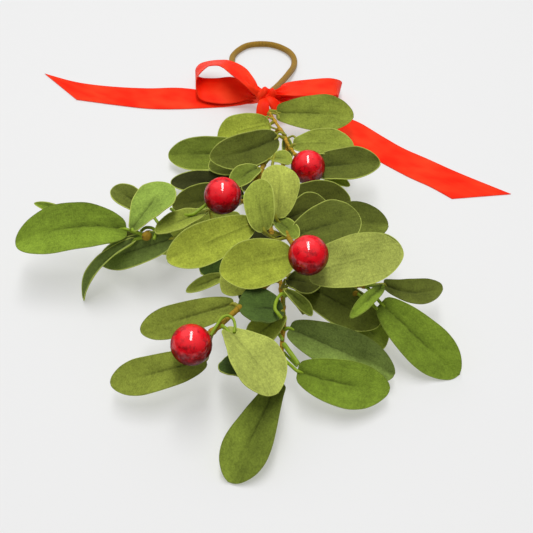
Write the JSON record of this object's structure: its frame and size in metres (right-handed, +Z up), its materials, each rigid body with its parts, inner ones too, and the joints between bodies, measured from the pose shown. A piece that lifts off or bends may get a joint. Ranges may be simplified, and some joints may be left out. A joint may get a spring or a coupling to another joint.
{
  "type": "mistletoe bunch",
  "caption": "Artificial mistletoe bunch lying down: cloth leaves and glossy red berries on wrapped wire stems, with a hanging loop and a red satin bow.",
  "frame": {"origin": "on the surface that the bunch lies on, under the middle of its bounding box", "axes": "+Z up from the surface, +Y from the tips of the leaves towards the hanging loop"},
  "size_m": [0.208, 0.2532, 0.0461],
  "materials": {
    "leaf_cloth": "matte",
    "berry_lacquer": "gloss",
    "stem_wrap": "matte",
    "loop_cord": "matte",
    "ribbon_satin": "satin"
  },
  "bodies": {
    "root": {"main_stem": "stem_wrap", "centre_stem": "stem_wrap", "upper_berry_stem": "stem_wrap", "middle_berry_stem": "stem_wrap", "lower_berry_stem": "stem_wrap", "left_stem": "stem_wrap", "right_stem": "stem_wrap", "hanging_loop": "loop_cord", "crown_leaf_1": "leaf_cloth", "crown_leaf_2": "leaf_cloth", "crown_leaf_3": "leaf_cloth", "crown_leaf_4": "leaf_cloth", "crown_leaf_5": "leaf_cloth", "crown_leaf_6": "leaf_cloth", "crown_leaf_7": "leaf_cloth", "crown_leaf_8": "leaf_cloth", "centre_leaf_1": "leaf_cloth", "centre_leaf_2": "leaf_cloth", "centre_leaf_3": "leaf_cloth", "centre_leaf_4": "leaf_cloth", "centre_leaf_5": "leaf_cloth", "left_leaf_1": "leaf_cloth", "left_leaf_2": "leaf_cloth", "left_leaf_3": "leaf_cloth", "left_leaf_4": "leaf_cloth", "left_leaf_5": "leaf_cloth", "left_leaf_6": "leaf_cloth", "left_leaf_7": "leaf_cloth", "left_leaf_8": "leaf_cloth", "berry_leaf_1": "leaf_cloth", "berry_leaf_2": "leaf_cloth", "berry_leaf_3": "leaf_cloth", "right_leaf_1": "leaf_cloth", "right_leaf_2": "leaf_cloth", "right_leaf_3": "leaf_cloth", "right_leaf_4": "leaf_cloth", "right_leaf_5": "leaf_cloth", "right_leaf_6": "leaf_cloth", "right_leaf_7": "leaf_cloth", "right_leaf_8": "leaf_cloth", "right_leaf_9": "leaf_cloth", "right_leaf_10": "leaf_cloth", "right_leaf_11": "leaf_cloth", "lower_leaf_1": "leaf_cloth", "lower_leaf_2": "leaf_cloth", "lower_leaf_3": "leaf_cloth", "lower_leaf_4": "leaf_cloth", "lower_leaf_5": "leaf_cloth", "lower_leaf_6": "leaf_cloth", "lower_leaf_7": "leaf_cloth", "lower_leaf_8": "leaf_cloth", "berry_1": "berry_lacquer", "berry_2": "berry_lacquer", "berry_3": "berry_lacquer", "berry_4": "berry_lacquer", "ribbon_tail_left": "ribbon_satin", "ribbon_tail_right": "ribbon_satin", "bow_loop_left": "ribbon_satin", "bow_loop_right": "ribbon_satin", "bow_knot": "ribbon_satin"}
  },
  "joints": []
}
